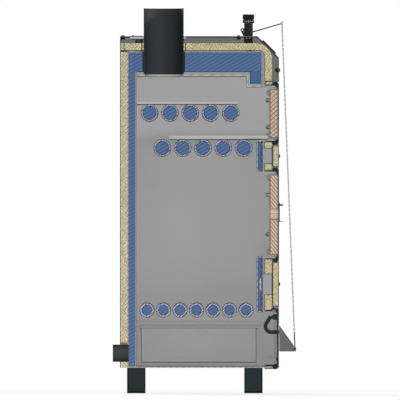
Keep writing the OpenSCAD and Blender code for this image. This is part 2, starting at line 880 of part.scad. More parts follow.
module regulator_lever() color("#5a5c50") frame_shift()
  difference() {
    union() {
      cross_bar(reg_x, lever_z, 5, [reg_y - 4, reg_y + 4]);
      rod([reg_x, reg_y, lever_z], [tip_x - 4, chain_y + 1, tip_z - 1], lever_d / 2);
      cross_bar(tip_x, tip_z, 4.5, [chain_y - 1.5, chain_y + 1.5]);
      translate([tip_x, chain_y, tip_z + 3]) cylinder(r = 1.2, h = 4);
    }
    cross_bar(reg_x, lever_z, 2 + running, [reg_y - 10, reg_y + 10]);
    cross_bar(tip_x, tip_z, 2.5, [chain_y - 5, chain_y + 5]);
  }

// A round rod between two points
module rod(a, b, r) {
  d = b - a;
  len = norm(d);
  translate(a) rotate([0, acos(d[2] / len), atan2(d[1], d[0])]) cylinder(r = r, h = len);
}

// ---- Chain ----

// Each link is an oval of round wire, swept as one mesh: link_n rings of wire_n
// points go round it. Every second link is turned a quarter about the chain's
// line, and the wires of neighbours pass through each other's eyes.
link_n = 8;
wire_n = 4;
link_gap = 2.4;

function link_centre(a) =
  let (r = (link_gap + chain_wire) / 2,
       s = chain_pitch / 2 - r * cos(180 / link_n) + chain_wire / 2 + 0.12)
  [r * cos(a), 0, r * sin(a) + s * sign(sin(a))];

function wire_point(a, b) =
  link_centre(a) + chain_wire / 2 * [cos(a) * cos(b), sin(b), sin(a) * cos(b)];

function quarter_turn(p, k) = k % 2 == 0 ? p : [-p[1], p[0], p[2]];

function link_points(k) =
  [for (i = [0 : link_n - 1]) for (j = [0 : wire_n - 1])
     quarter_turn(wire_point(360 * (i + 0.5) / link_n, 360 * j / wire_n), k)
       + [0, 0, (k + 0.5) * chain_pitch]];

function link_faces(k) =
  [for (i = [0 : link_n - 1]) for (j = [0 : wire_n - 1])
     let (here = k * link_n * wire_n + i * wire_n,
          next = k * link_n * wire_n + (i + 1) % link_n * wire_n,
          k2 = (j + 1) % wire_n)
     [here + j, here + k2, next + k2, next + j]];

// Places what hangs from the lever's tip along the chain's line
module chain_line()
  translate([tip_x, chain_y, tip_z]) rotate([0, 180 - chain_lean, 0]) children();

module regulator_chain() color("#8a8a8a") frame_shift()
  chain_line() translate([0, 0, shackle_len])
    polyhedron(points = [for (k = [0 : link_count - 1]) each link_points(k)],
               faces = [for (k = [0 : link_count - 1]) each link_faces(k)]);

// Shackle at the lever's tip, and the open hook whose foot lies under the
// flap's pin
module chain_ends() color("#8a8a8a") frame_shift() {
  bolt_z = shackle_len + 0.9;
  ring_r = 2.6;
  ring_z = shackle_len + link_count * chain_pitch + 1.5;
  foot_z = chain_len + 4.8;
  chain_line() {
    for (z = [0, bolt_z]) translate([0, 0, z]) rotate([90, 0, 0])
      cylinder(d = chain_wire + 0.2, h = 2 * shackle_half, center = true);
    for (y = [-2.65, 2.65]) translate([0, y, 0]) cylinder(d = chain_wire, h = bolt_z);
  }
  chain_line() {
    translate([0, 0, ring_z]) rotate([90, 0, 0])
      rotate_extrude() translate([ring_r, 0]) circle(d = 2);
    translate([0, 0, ring_z + ring_r]) cylinder(r = 2, h = foot_z + 2.4 - ring_z - ring_r);
    translate([0, 0, foot_z]) rotate([-90, 0, 0]) cylinder(r = 1.5, h = 11);
  }
}

front_foot();
rear_foot();
base_plate();
inner_rear_wall();
inner_side_wall();
gas_roof();
jacket_rear_wall();
jacket_side_wall();
jacket_top_plate();
jacket_front_wall();
front_water_walls();
front_spacers();
throat_plates();
upper_tubes();
middle_tubes();
grate_tubes();
rear_water();
side_water();
top_water();
front_water();
tube_water();
upper_baffle();
middle_baffle();
ash_rails();
ash_pan();
rear_insulation();
top_insulation();
side_insulation();
front_insulation();
rear_panel();
side_panel();
top_cover();
upper_front_panel();
front_panels();
flue_plate();
instrument_panel();
cover_knobs();
door_frames();
hinge_pins();
flue_pipe();
pipe_sockets();
regulator_body();
regulator_knob();
regulator_lever();
regulator_chain();
chain_ends();
cleaning_door();
cleaning_door_board();
cleaning_door_liner();
loading_door();
loading_door_board();
loading_door_liner();
air_cover();
ash_door();
air_flap();
flap_arms();
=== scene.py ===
"""Upright wood-fired boiler, cut open along its middle.

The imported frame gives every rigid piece. This script adds what a workshop would put on a
sectioned display boiler: lines round the sawn faces, weld beads, screws, the loose fibres
of the wool, the packing round the flue, the regulator's marks, and the finish of each
surface. Lengths are in metres, in the frame of the part: +X to the doors, +Y away from the
cut, +Z up.
"""
import json
import math

import bpy
import numpy as np
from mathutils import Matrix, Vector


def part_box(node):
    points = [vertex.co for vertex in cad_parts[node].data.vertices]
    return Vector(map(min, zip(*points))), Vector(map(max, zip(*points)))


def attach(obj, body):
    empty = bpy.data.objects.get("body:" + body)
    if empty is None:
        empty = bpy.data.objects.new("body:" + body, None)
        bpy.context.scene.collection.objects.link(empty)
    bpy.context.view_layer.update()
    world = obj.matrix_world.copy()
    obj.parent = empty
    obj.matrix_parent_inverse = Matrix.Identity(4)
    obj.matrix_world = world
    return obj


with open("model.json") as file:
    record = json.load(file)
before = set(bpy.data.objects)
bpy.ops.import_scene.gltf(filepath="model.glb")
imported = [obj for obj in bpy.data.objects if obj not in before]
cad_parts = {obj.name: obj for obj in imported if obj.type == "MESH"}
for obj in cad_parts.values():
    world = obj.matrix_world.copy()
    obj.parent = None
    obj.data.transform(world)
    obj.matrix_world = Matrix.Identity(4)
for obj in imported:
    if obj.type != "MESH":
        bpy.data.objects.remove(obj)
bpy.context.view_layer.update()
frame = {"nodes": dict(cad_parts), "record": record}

MM = 0.001
CUT_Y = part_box("top_cover")[0][1]          # the plane of the cut
SAWN_Y = CUT_Y + 0.05 * MM                 # sawn faces lie in front of this plane
REAR_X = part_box("rear_panel")[0][0]        # the casing's rear sheet
SLOTS = {row["node"]: row["material_slot"] for row in frame["record"]["subparts"]}

VIEW_WIDTH = 1.3965                        # width of the view in the plane of the cut
VIEW_X = 0.2793                            # middle of the view, from the rear sheet
VIEW_Z = 0.6748                            # middle of the view, above the floor
WORLD_LIGHT = 0.13                         # even light from all sides
FLOOR_RADIUS = 2.2

# Towards the lamp, strength, softness in degrees, and whether it gives highlights
SUNS = {
    "front_light": ((0, -1, 0), 2.42, 0.5, False),
    "key_light": ((0.75, -0.55, 0.45), 0.15, 12, True),
    "side_light": ((0.9, -0.03, 0.35), 1.8, 12, True),
    "back_light": ((-0.45, 0.75, 0.45), 2.6, 12, True),
}


def at(x, y, z):
    """A place given in mm from the rear sheet, the cut and the floor."""
    return np.array([REAR_X + x * MM, CUT_Y + y * MM, z * MM])


# ---------------------------------------------------------------- camera and light

def make_camera():
    """A very long lens square to the cut, so that depth hardly shows."""
    data = bpy.data.cameras.new("camera")
    data.lens = 1500.0
    data.sensor_width = 36.0
    distance = VIEW_WIDTH * data.lens / data.sensor_width
    camera = bpy.data.objects.new("camera", data)
    bpy.context.scene.collection.objects.link(camera)
    camera.location = (REAR_X + VIEW_X, CUT_Y - distance, VIEW_Z)
    camera.rotation_euler = (math.radians(90), 0, 0)
    data.clip_start = 1.0
    data.clip_end = 200.0
    bpy.context.scene.camera = camera


def add_sun(name, towards, strength, softness, mirrored):
    """A distant lamp shining from the given direction, with or without highlights."""
    lamp = bpy.data.lights.new(name, "SUN")
    lamp.energy = strength
    lamp.angle = math.radians(softness)
    sun = bpy.data.objects.new(name, lamp)
    sun.visible_glossy = mirrored
    bpy.context.scene.collection.objects.link(sun)
    x, y, z = towards
    yaw = math.atan2(x, -y)
    tilt = math.atan2(math.hypot(x, y), z)
    sun.rotation_euler = (tilt, 0, yaw)


def make_world():
    """White to the camera, to mirrors and through glass; a softer white as light."""
    world = bpy.data.worlds.new("studio")
    bpy.context.scene.world = world
    world.use_nodes = True
    tree = world.node_tree
    tree.nodes.clear()
    white = (1, 1, 1, 1)
    seen = add_node(tree, "Background", Color=white, Strength=1.0)
    light = add_node(tree, "Background", Color=white, Strength=WORLD_LIGHT)
    mix = add_node(tree, "MixShader", _0=seen_by_rays(tree), _1=light.outputs[0],
                   _2=seen.outputs[0])
    add_node(tree, "OutputWorld", Surface=mix.outputs[0])


def seen_by_rays(tree):
    """1 for camera, glossy and transmission rays, else 0."""
    path = add_node(tree, "LightPath").outputs
    either = maths(tree, "MAXIMUM", path["Is Camera Ray"], path["Is Glossy Ray"])
    return maths(tree, "MAXIMUM", either, path["Is Transmission Ray"])


def make_floor():
    """A pale round floor that fades into the white around it and keeps the shadow."""
    turns = np.linspace(0, 2 * np.pi, 97)[:-1]
    ring = np.stack([FLOOR_RADIUS * np.cos(turns), FLOOR_RADIUS * np.sin(turns),
                     np.full_like(turns, -0.5 * MM)], axis=1)
    mesh = bpy.data.meshes.new("floor")
    mesh.from_pydata(ring.tolist(), [], [list(range(len(ring)))])
    floor = bpy.data.objects.new("floor", mesh)
    bpy.context.scene.collection.objects.link(floor)
    paint = bpy.data.materials.new("floor")
    paint.use_nodes = True
    tree = paint.node_tree
    shader = tree.nodes["Principled BSDF"]
    shader.inputs["Base Color"].default_value = (0.93, 0.93, 0.93, 1)
    shader.inputs["Roughness"].default_value = 0.9
    white = add_node(tree, "Emission", Strength=1.0)
    coords = add_node(tree, "TexCoord").outputs["Object"]
    away = add_node(tree, "VectorMath", {"operation": "LENGTH"}, _0=coords)
    fade = add_node(tree, "MapRange", Value=away.outputs["Value"], From_Min=0.35,
                    From_Max=1.5, To_Min=0.80, To_Max=1.0)
    share = maths(tree, "MULTIPLY", fade.outputs["Result"], seen_by_rays(tree))
    mix = add_node(tree, "MixShader", _0=share, _1=shader.outputs[0], _2=white.outputs[0])
    tree.links.new(mix.outputs[0], tree.nodes["Material Output"].inputs["Surface"])
    mesh.materials.append(paint)


# ---------------------------------------------------------------- shader groups

def srgb(r, g, b):
    """A colour as it is seen, 0 to 255, as Blender's linear values."""
    value = np.array([r, g, b]) / 255
    linear = np.where(value <= 0.04045, value / 12.92, ((value + 0.055) / 1.055) ** 2.4)
    return (*linear.tolist(), 1.0)


class Group:
    """A shader node group that is filled node by node."""

    def __init__(self, name, inputs, outputs):
        self.tree = bpy.data.node_groups.new(name, "ShaderNodeTree")
        for label, kind, value in inputs:
            socket = self.tree.interface.new_socket(label, in_out="INPUT", socket_type=kind)
            if value is not None:
                socket.default_value = value
        for label, kind in outputs:
            self.tree.interface.new_socket(label, in_out="OUTPUT", socket_type=kind)
        self.inside = self.tree.nodes.new("NodeGroupInput")
        self.outside = self.tree.nodes.new("NodeGroupOutput")

    def node(self, kind, settings=None, **links):
        """A node inside the group."""
        return add_node(self.tree, kind, settings, **links)

    def give(self, label, socket):
        """Link a socket to one of the group's outputs."""
        self.tree.links.new(socket, self.outside.inputs[label])


def add_node(tree, kind, settings=None, **links):
    """A node with its settings; links name its inputs, _0 for a numbered one."""
    node = tree.nodes.new("ShaderNode" + kind)
    for key, value in (settings or {}).items():
        setattr(node, key, value)
    for key, value in links.items():
        index = int(key[1:]) if key[0] == "_" else key.replace("_", " ")
        if isinstance(value, bpy.types.NodeSocket):
            tree.links.new(value, node.inputs[index])
        else:
            node.inputs[index].default_value = value
    return node


def maths(tree, operation, a, b=0.0, c=0.0):
    """The result of a Math node."""
    node = add_node(tree, "Math", {"operation": operation}, _0=a, _1=b, _2=c)
    return node.outputs[0]


def blend_colour(tree, factor, low, high):
    """low where factor is 0, high where it is 1."""
    node = add_node(tree, "Mix", {"data_type": "RGBA"}, _0=factor, _6=low, _7=high)
    return node.outputs[2]


def hatch_group():
    """Straight lines in the plane of the cut.

    The phase is (z cos s - x sin s) / spacing, for a slope s, shifted by noise times the
    wobble. The line is where the phase's fraction is within half the share of 0.5.
    """
    group = Group("section_hatch",
                  [("Slope", "NodeSocketFloat", 0.6), ("Spacing", "NodeSocketFloat", 0.01),
                   ("Share", "NodeSocketFloat", 0.2), ("Wobble", "NodeSocketFloat", 0.0)],
                  [("Line", "NodeSocketFloat")])
    tree = group.tree
    inputs = group.inside.outputs
    coords = group.node("TexCoord").outputs["Object"]
    noise = group.node("TexNoise", Vector=coords, Scale=60.0, Detail=1.0)
    shift = maths(tree, "MULTIPLY", maths(tree, "SUBTRACT", noise.outputs[0], 0.5),
                  inputs["Wobble"])
    xyz = group.node("SeparateXYZ", _0=coords)
    rise = maths(tree, "MULTIPLY", xyz.outputs["Z"],
                 maths(tree, "COSINE", inputs["Slope"]))
    run = maths(tree, "MULTIPLY", xyz.outputs["X"], maths(tree, "SINE", inputs["Slope"]))
    phase = maths(tree, "DIVIDE", maths(tree, "SUBTRACT", rise, run), inputs["Spacing"])
    phase = maths(tree, "ADD", phase, shift)
    away = maths(tree, "SUBTRACT", maths(tree, "FRACT", phase), 0.5)
    away = maths(tree, "ABSOLUTE", away)
    edge = maths(tree, "MULTIPLY", inputs["Share"], 0.5)
    soft = maths(tree, "DIVIDE", maths(tree, "SUBTRACT", edge, away), edge)
    ramp = group.node("Clamp", Value=maths(tree, "MULTIPLY", soft, 2.5))
    group.give("Line", ramp.outputs[0])
    return group.tree


def mottle_group():
    """Slow cloudiness and fine grain, both about 0, for colour and roughness."""
    group = Group("mottle",
                  [("Coarse", "NodeSocketFloat", 6.0), ("Fine", "NodeSocketFloat", 400.0)],
                  [("Cloud", "NodeSocketFloat"), ("Grain", "NodeSocketFloat")])
    coords = group.node("TexCoord").outputs["Object"]
    inputs = group.inside.outputs
    cloud = group.node("TexNoise", Vector=coords, Scale=inputs["Coarse"], Detail=4.0)
    grain = group.node("TexNoise", Vector=coords, Scale=inputs["Fine"], Detail=2.0)
    group.give("Cloud", maths(group.tree, "SUBTRACT", cloud.outputs[0], 0.5))
    group.give("Grain", maths(group.tree, "SUBTRACT", grain.outputs[0], 0.5))
    return group.tree


def side_distances(group, coords):
    """Depths inside the group's box Low to High along x, y and z, and the least of them."""
    minus = {"operation": "SUBTRACT"}
    inputs = group.inside.outputs
    above = group.node("VectorMath", minus, _0=coords, _1=inputs["Low"])
    below = group.node("VectorMath", minus, _0=inputs["High"], _1=coords)
    near = group.node("VectorMath", {"operation": "MINIMUM"}, _0=above.outputs[0],
                      _1=below.outputs[0])
    x, y, z = group.node("SeparateXYZ", _0=near.outputs[0]).outputs[:3]
    least = maths(group.tree, "MINIMUM", maths(group.tree, "MINIMUM", x, y), z)
    return x, y, z, least


def rub_group():
    """Rubbed edges of a boxy piece: 1 at its edges, fading inwards, broken by noise.

    With dx, dy and dz as the distances to the nearer side of the piece's box, the middle
    one of the three is the distance to the nearest edge.
    """
    group = Group("edge_rub",
                  [("Low", "NodeSocketVector", None), ("High", "NodeSocketVector", None),
                   ("Reach", "NodeSocketFloat", 2.5 * MM)],
                  [("Worn", "NodeSocketFloat")])
    tree = group.tree
    coords = group.node("TexCoord").outputs["Object"]
    x, y, z, least = side_distances(group, coords)
    most = maths(tree, "MAXIMUM", maths(tree, "MAXIMUM", x, y), z)
    total = maths(tree, "ADD", maths(tree, "ADD", x, y), z)
    middle = maths(tree, "SUBTRACT", maths(tree, "SUBTRACT", total, least), most)
    close = maths(tree, "DIVIDE", middle, group.inside.outputs["Reach"])
    close = maths(tree, "SUBTRACT", 1.0, close)
    noise = group.node("TexNoise", Vector=coords, Scale=55.0, Detail=4.0)
    patch = group.node("MapRange", Value=noise.outputs[0], From_Min=0.38, From_Max=0.62)
    worn = maths(tree, "MULTIPLY", patch.outputs["Result"],
                 group.node("Clamp", Value=close).outputs[0])
    group.give("Worn", worn)
    return group.tree


def sawn_group():
    """1 on the sawn faces, which lie in the plane of the cut, else 0."""
    group = Group("sawn_face", [("Plane", "NodeSocketFloat", SAWN_Y)],
                  [("Sawn", "NodeSocketFloat")])
    coords = group.node("TexCoord").outputs["Object"]
    y = group.node("SeparateXYZ", _0=coords).outputs["Y"]
    group.give("Sawn", maths(group.tree, "LESS_THAN", y, group.inside.outputs["Plane"]))
    return group.tree


def box_group():
    """1 inside an upright box, else 0, with a blurred edge."""
    group = Group("box_mask", [("Low", "NodeSocketVector", None),
                               ("High", "NodeSocketVector", None),
                               ("Blur", "NodeSocketFloat", 0.1 * MM)],
                  [("Inside", "NodeSocketFloat")])
    coords = group.node("TexCoord").outputs["Object"]
    least = side_distances(group, coords)[3]
    depth = maths(group.tree, "DIVIDE", least, group.inside.outputs["Blur"])
    group.give("Inside", group.node("Clamp", Value=depth).outputs[0])
    return group.tree


GROUPS = {"hatch": hatch_group(), "mottle": mottle_group(), "rub": rub_group(),
          "sawn": sawn_group(), "box": box_group()}


def place_group(tree, name, **values):
    """A group's node in a material, with values for its inputs."""
    node = tree.nodes.new("ShaderNodeGroup")
    node.node_tree = GROUPS[name]
    for key, value in values.items():
        node.inputs[key].default_value = value
    return node


# ---------------------------------------------------------------- materials

def new_material(name, roughness, specular):
    """A material with its tree and its Principled shader."""
    material = bpy.data.materials.new(name)
    material.use_nodes = True
    shader = material.node_tree.nodes["Principled BSDF"]
    shader.inputs["Roughness"].default_value = roughness
    shader.inputs["Specular IOR Level"].default_value = specular
    return material, material.node_tree, shader


def add_relief(tree, shader, height, strength, distance):
    """Bump the shader's normal by a height."""
    relief = add_node(tree, "Bump", Strength=strength, Distance=distance, Height=height)
    tree.links.new(relief.outputs[0], shader.inputs["Normal"])


FAR = 9000.0                               # mm, beyond every piece


def slab(axis, start, end):
    """The corners in mm of all that lies between two places along an axis."""
    low = [-FAR] * 3
    high = [FAR] * 3
    low["xyz".index(axis)] = start
    high["xyz".index(axis)] = end
    return low, high


def box_mask(tree, low, high, blur=0.1):
    """1 between two corners given in mm from the rear sheet, the cut and the floor."""
    return place_group(tree, "box", Low=at(*low), High=at(*high),
                       Blur=blur * MM).outputs["Inside"]


def coat(name, colour, box=None, roughness=0.55, specular=0.15, cloud=0.10, grain=0.06,
         bump=0.15, fine=500.0, rubbed=None, sawn=None, dashes=None, bands=(), patches=()):
    """Painted, cast, rolled or moulded surface: slow cloud, fine grain and rubbed edges.

    sawn is the colour of the faces in the plane of the cut, and dashes the section lines
    on them as (colour, slope, spacing, share). A band is (axis, from, to, blur, colour) and
    a patch (low corner, high corner, blur, colour), in mm: there the coat has another
    colour, in a band on the sawn faces only. rubbed is the colour of the edges of the box.
    """
    material, tree, shader = new_material(name, roughness, specular)
    mottle = place_group(tree, "mottle", Coarse=7.0, Fine=fine)
    shade = srgb(*colour)
    face = place_group(tree, "sawn").outputs["Sawn"]
    if sawn:
        shade = blend_colour(tree, face, shade, srgb(*sawn))
    for low, high, blur, other in patches:
        shade = blend_colour(tree, box_mask(tree, low, high, blur), shade, srgb(*other))
    for axis, start, end, blur, other in bands:
        band = maths(tree, "MULTIPLY", box_mask(tree, *slab(axis, start, end), blur), face)
        shade = blend_colour(tree, band, shade, srgb(*other))
    if dashes:
        line, slope, spacing, share = dashes
        hatch = place_group(tree, "hatch", Slope=slope, Spacing=spacing, Share=share)
        lines = maths(tree, "MULTIPLY", hatch.outputs["Line"], face)
        shade = blend_colour(tree, lines, shade, srgb(*line))
    if rubbed:
        low, high = box
        wear = place_group(tree, "rub", Low=tuple(low), High=tuple(high))
        shade = blend_colour(tree, wear.outputs["Worn"], shade, srgb(*rubbed))
    tone = maths(tree, "MULTIPLY_ADD", mottle.outputs["Cloud"], cloud * 2, 1.0)
    tone = maths(tree, "MULTIPLY_ADD", mottle.outputs["Grain"], grain * 2, tone)
    vary = add_node(tree, "HueSaturation", Value=tone, Color=shade)
    tree.links.new(vary.outputs[0], shader.inputs["Base Color"])
    rough = maths(tree, "MULTIPLY_ADD", mottle.outputs["Cloud"], 0.25, roughness)
    tree.links.new(rough, shader.inputs["Roughness"])
    add_relief(tree, shader, mottle.outputs["Grain"], bump, 0.4 * MM)
    return material


def water_filling(name, hatched=True):
    """Blue filling with a faint ripple, and with section lines or with a dark shore."""
    material, tree, shader = new_material(name, roughness=0.45, specular=0.12)
    mottle = place_group(tree, "mottle", Coarse=9.0, Fine=120.0)
    tone = maths(tree, "MULTIPLY_ADD", mottle.outputs["Cloud"], 0.5, 0.5)
    shade = blend_colour(tree, tone, srgb(75, 102, 146), srgb(84, 108, 147))
    if hatched:
        hatch = place_group(tree, "hatch", Slope=0.5207, Spacing=11.24 * MM, Share=0.32)
        shade = blend_colour(tree, hatch.outputs["Line"], shade, srgb(60, 83, 116))
    else:
        shore = box_mask(tree, *slab("x", 492, 508), 6)
        shade = blend_colour(tree, shore, srgb(67, 94, 136), srgb(36, 54, 88))
    tree.links.new(shade, shader.inputs["Base Color"])
    add_relief(tree, shader, mottle.outputs["Grain"], 0.2, 0.5 * MM)
    return material


def mineral_wool(name):
    """Pressed wool: a mottled pale ground under broken strokes of fibre in two directions."""
    material, tree, shader = new_material(name, roughness=0.95, specular=0.1)
    coords = add_node(tree, "TexCoord").outputs["Object"]
    rising = place_group(tree, "hatch", Slope=0.95, Spacing=8.5 * MM, Share=0.42, Wobble=0.9)
    falling = place_group(tree, "hatch", Slope=-0.75, Spacing=7.5 * MM, Share=0.42,
                          Wobble=0.9)
    breaks = add_node(tree, "TexNoise", Vector=coords, Scale=85.0, Detail=2.0)
    broken = add_node(tree, "MapRange", Value=breaks.outputs[0], From_Min=0.42,
                      From_Max=0.58)
    other = maths(tree, "SUBTRACT", 1.0, broken.outputs["Result"])
    fibres = maths(tree, "MAXIMUM",
                   maths(tree, "MULTIPLY", rising.outputs["Line"], broken.outputs["Result"]),
                   maths(tree, "MULTIPLY", falling.outputs["Line"], other))
    mottle = place_group(tree, "mottle", Coarse=60.0, Fine=900.0)
    tone = maths(tree, "MULTIPLY_ADD", mottle.outputs["Cloud"], 1.3, 0.45)
    ground = blend_colour(tree, tone, srgb(190, 180, 145), srgb(226, 216, 179))
    shade = blend_colour(tree, maths(tree, "MULTIPLY", fibres, 0.85), ground,
                         srgb(122, 111, 78))
    tree.links.new(shade, shader.inputs["Base Color"])
    height = maths(tree, "SUBTRACT", maths(tree, "MULTIPLY", mottle.outputs["Grain"], 0.6),
                   fibres)
    add_relief(tree, shader, height, 0.5, 1.0 * MM)
    return material


def heat_board(name, slope, spacing, crossed, depth):
    """Pressed heat board, plain but for the section lines on its sawn face.

    crossed is the weight of the lines across the first ones, and depth that of them all.
    """
    material, tree, shader = new_material(name, roughness=0.9, specular=0.15)
    first = place_group(tree, "hatch", Slope=slope, Spacing=spacing, Share=0.34, Wobble=0.3)
    second = place_group(tree, "hatch", Slope=-slope, Spacing=spacing, Share=0.24, Wobble=0.3)
    lines = maths(tree, "MAXIMUM", first.outputs["Line"],
                  maths(tree, "MULTIPLY", second.outputs["Line"], crossed))
    mottle = place_group(tree, "mottle", Coarse=45.0, Fine=800.0)
    tone = maths(tree, "ADD", mottle.outputs["Cloud"], 0.5)
    ground = blend_colour(tree, tone, srgb(190, 165, 143), srgb(212, 189, 167))
    shade = blend_colour(tree, maths(tree, "MULTIPLY", lines, depth), ground,
                         srgb(122, 96, 76))
    face = place_group(tree, "sawn").outputs["Sawn"]
    shade = blend_colour(tree, face, srgb(212, 190, 165), shade)
    tree.links.new(shade, shader.inputs["Base Color"])
    add_relief(tree, shader, mottle.outputs["Grain"], 0.35, 0.8 * MM)
    return material


# Section lines of sawn steel: colour, slope, spacing and share
DIAGONAL = 0.785
PLATE_DASHES = ((122, 121, 119), DIAGONAL, 15.5 * MM, 0.30)
TUBE_DASHES = ((78, 84, 102), DIAGONAL, 7.5 * MM, 0.42)
ROOF_DASHES = ((150, 150, 148), DIAGONAL, 26 * MM, 0.5)
CASING = (62, 64, 63)

# The coat of each material slot
FINISHES = {
    "foot_paint": dict(colour=(48, 56, 58), sawn=(19, 23, 27), rubbed=(80, 86, 87)),
    "base_steel": dict(colour=(138, 138, 132), sawn=(172, 168, 161), roughness=0.5,
                       dashes=PLATE_DASHES,
                       bands=[("z", 92.6, 96, 0.2, (98, 106, 128)),
                              ("z", 88, 90.4, 0.2, (140, 136, 116))]),
    "chamber_steel": dict(colour=(155, 155, 155), sawn=(150, 151, 151), roughness=0.7,
                          specular=0.1, cloud=0.02, grain=0.03, dashes=PLATE_DASHES),
    "jacket_steel": dict(colour=(138, 138, 134), sawn=(148, 149, 150), roughness=0.6,
                         dashes=PLATE_DASHES),
    "tube_steel": dict(colour=(160, 160, 162), sawn=(168, 170, 175), roughness=0.5,
                       dashes=TUBE_DASHES),
    "baffle_plate": dict(colour=(172, 172, 172), roughness=0.7, specular=0.2, cloud=0.03),
    "pan_steel": dict(colour=(155, 155, 155), sawn=(104, 106, 103), roughness=0.65,
                      specular=0.2, cloud=0.02),
    "casing_paint": dict(colour=CASING, sawn=(60, 62, 60), fine=900.0, bump=0.3,
                         rubbed=(112, 112, 110)),
    "side_paint": dict(colour=(122, 123, 118), fine=900.0, cloud=0.04,
                       patches=[(*slab("y", 239, 260), 0.2, CASING)]),
    "panel_black": dict(colour=(12, 13, 14), specular=0.05, fine=1200.0, bump=0.4),
    "knob_black": dict(colour=(25, 26, 27), roughness=0.5, specular=0.06),
    "frame_iron": dict(colour=(34, 42, 44), sawn=(27, 33, 36), roughness=0.65, fine=300.0,
                       bump=0.4),
    "arm_steel": dict(colour=(120, 120, 118), roughness=0.5),
    "flue_steel": dict(colour=(48, 52, 56), sawn=(30, 33, 36), roughness=0.6, specular=0.2,
                       # painted shade: the flue darkens from its left side to its right, over
                       # 110 mm from x = 118 mm
                       patches=[(*slab("x", 118, 700), 110, (20, 22, 23)),
                                (*slab("z", 1000, 1113.5), 0.2, (168, 168, 166))]),
    "socket_steel": dict(colour=(60, 60, 60), sawn=(30, 32, 34), roughness=0.5,
                         # painted shade: the sockets near-black where they pass the slot
                         # between the jacket's top plate and the wool
                         patches=[(*slab("z", 1190, 1202), 0.2, (12, 14, 16))]),
    "regulator_metal": dict(colour=(28, 29, 29), roughness=0.4, specular=0.1),
    "lever_steel": dict(colour=(40, 42, 35), roughness=0.5, specular=0.08),
    "chain_steel": dict(colour=(18, 18, 18), roughness=0.5, specular=0.06),
    "liner_steel": dict(colour=(140, 142, 144), sawn=(140, 143, 147), roughness=0.55),
    "flap_paint": dict(colour=(107, 108, 103), sawn=(84, 85, 81), rubbed=(135, 135, 130)),
}


def nut_shade(middle):
    """Painted shade on the lower half of a nut on a door's liner, at a height in mm."""
    return [([495, -10, middle - 11], [520, 170, middle - 1], 3, (84, 84, 84))]


# What single nodes have instead of their slot's coat
NODE_CHANGES = {
    # painted light: the chamber's side wall lighter from z 885 mm up, against the shade that
    # tubes and baffles give there
    "inner_side_wall": dict(patches=[(*slab("z", 885, 1300), 40, (172, 172, 172))]),
    "inner_rear_wall": dict(sawn=(166, 166, 162), dashes=None,
                            bands=[("x", 50, 54.6, 0.2, (112, 108, 112))]),
    "upper_baffle": dict(patches=[([0, -10, 1000], [600, 0.5, 1009.8], 0.2, (60, 62, 62))]),
    "middle_baffle": dict(patches=[([173, -10, 880], [436, 0.5, 888.4], 0.2, (92, 94, 94)),
                                   ([436, -10, 880], [600, 0.5, 889.0], 0.2, (60, 62, 62))]),
    "rear_panel": dict(sawn=(22, 23, 23)),
    "front_water_walls": dict(sawn=(178, 180, 182),
                              bands=[("x", 492, 499, 0.3, (60, 84, 118))]),
    "front_spacers": dict(sawn=(150, 150, 150), dashes=None),
    "throat_plates": dict(colour=(166, 166, 166), sawn=(172, 172, 172), dashes=None),
    "upper_front_panel": dict(sawn=(92, 93, 90)),
    "jacket_side_wall": dict(colour=(160, 160, 160)),
    "gas_roof": dict(sawn=(172, 171, 168), dashes=ROOF_DASHES),
    "top_cover": dict(sawn=(88, 89, 87)),
    "door_frames": dict(patches=[([541.5, 20, 0], [549, 300, 1200], 0.3, (150, 150, 148))]),
    "ash_door": dict(sawn=(44, 46, 46),
                     patches=[([500, -10, 250], [548, 300, 300], 0.1, (34, 42, 44)),
                              ([500, -10, 80], [545, 300, 135], 0.1, (150, 150, 150))]),
    "cleaning_door": dict(sawn=(34, 37, 38)),
    "loading_door": dict(sawn=(34, 37, 38)),
    "cleaning_door_liner": dict(patches=nut_shade(1023.4) + nut_shade(929.6)),
    "loading_door_liner": dict(patches=nut_shade(691.6) + nut_shade(557.6)),
    "flap_arms": dict(patches=[([555.3, -50, 0], [700, 300, 400], 0.2, (107, 108, 103))]),
}

BOARDS = {
    "cleaning_door_board": dict(slope=0.70, spacing=11.5 * MM, crossed=1.0, depth=0.9),
    "loading_door_board": dict(slope=-0.9, spacing=9.0 * MM, crossed=0.0, depth=1.0),
}


def finish_for(node):
    """The material of one CAD node, made from its slot's finish and its own changes."""
    slot = SLOTS[node]
    if slot == "water_fill":
        return water_filling(node, hatched=node != "front_water")
    if slot == "wool":
        return mineral_wool(node)
    if node in BOARDS:
        return heat_board(node, **BOARDS[node])
    changes = NODE_CHANGES.get(node, {})
    return coat(node, box=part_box(node), **{**FINISHES[slot], **changes})


def finish_nodes():
    """Give each CAD node its material."""
    for name, node in frame["nodes"].items():
        node.data.materials.clear()
        node.data.materials.append(finish_for(name))


# Finishes of the pieces that this script adds
ADDED = {
    "dark_line": coat("dark_line", (42, 44, 47), roughness=0.8, specular=0.1),
    "blue_line": coat("blue_line", (36, 44, 76), roughness=0.8, specular=0.1),
    "water_line": coat("water_line", (60, 84, 122), roughness=0.8, specular=0.1),
    "grey_line": coat("grey_line", (112, 113, 112), roughness=0.8, specular=0.1),
    "olive_line": coat("olive_line", (120, 111, 84), roughness=0.9, specular=0.1),
    "weld_metal": coat("weld_metal", (166, 166, 166), roughness=0.5, cloud=0.15, fine=900.0),
    "screw_metal": coat("screw_metal", (92, 92, 90), roughness=0.4, fine=1200.0),
    "pale_fibre": coat("pale_fibre", (228, 219, 184), roughness=0.95, specular=0.1),
    "dark_fibre": coat("dark_fibre", (150, 139, 106), roughness=0.95, specular=0.1),
    "packing_wool": mineral_wool("packing_wool"),
    "mark_grey": coat("mark_grey", (132, 132, 124), roughness=0.6),
    "mark_orange": coat("mark_orange", (176, 88, 52), roughness=0.6),
}


# ---------------------------------------------------------------- new pieces

